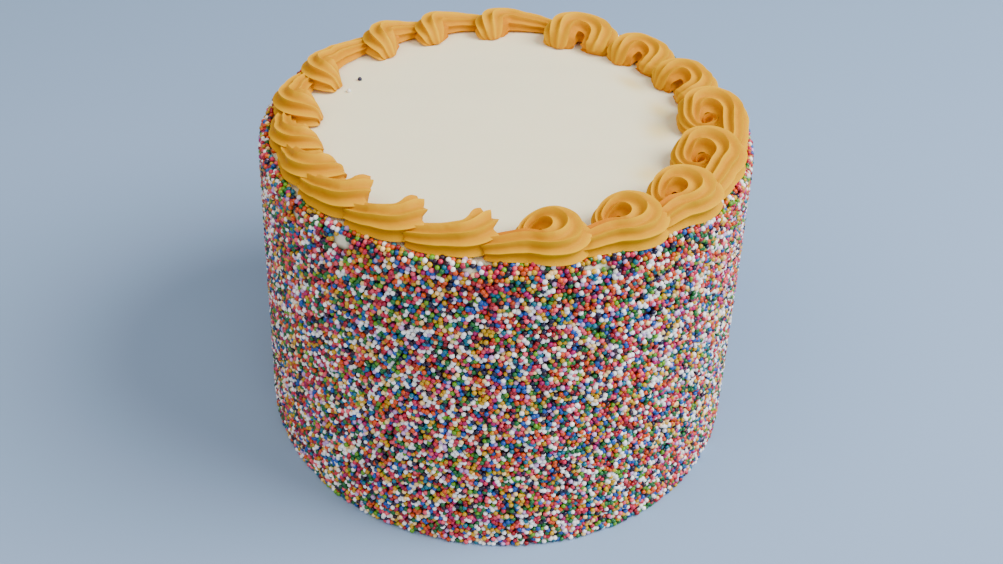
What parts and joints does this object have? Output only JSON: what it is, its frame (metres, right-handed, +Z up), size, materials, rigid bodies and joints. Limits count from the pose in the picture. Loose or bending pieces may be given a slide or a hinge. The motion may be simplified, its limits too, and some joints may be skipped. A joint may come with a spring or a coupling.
{
  "type": "confetti cake",
  "caption": "Tall round iced cake with a plain white top, a wall coated all over in many-coloured nonpareils and a border of piped yellow buttercream swirls.",
  "frame": {"origin": "middle of the flat foot, on the surface that the cake stands on", "axes": "+Z up through the middle of the cake; -Y towards the side that the picture shows; +X to that view's right"},
  "size_m": [0.1597, 0.1593, 0.1155],
  "materials": {
    "white_buttercream": "smoothed, soft satin",
    "yellow_buttercream": "piped, soft satin",
    "nonpareils": "many colours of sugar, softly glossy"
  },
  "bodies": {
    "root": {"iced_cake": "nonpareils", "swirl_01": "yellow_buttercream", "swirl_02": "yellow_buttercream", "swirl_03": "yellow_buttercream", "swirl_04": "yellow_buttercream", "swirl_05": "yellow_buttercream", "swirl_06": "yellow_buttercream", "swirl_07": "yellow_buttercream", "swirl_08": "yellow_buttercream", "swirl_09": "yellow_buttercream", "swirl_10": "yellow_buttercream", "swirl_11": "yellow_buttercream", "swirl_12": "yellow_buttercream", "swirl_13": "yellow_buttercream", "swirl_14": "yellow_buttercream", "swirl_15": "yellow_buttercream", "swirl_16": "yellow_buttercream", "swirl_17": "yellow_buttercream", "swirl_18": "yellow_buttercream"}
  },
  "joints": []
}
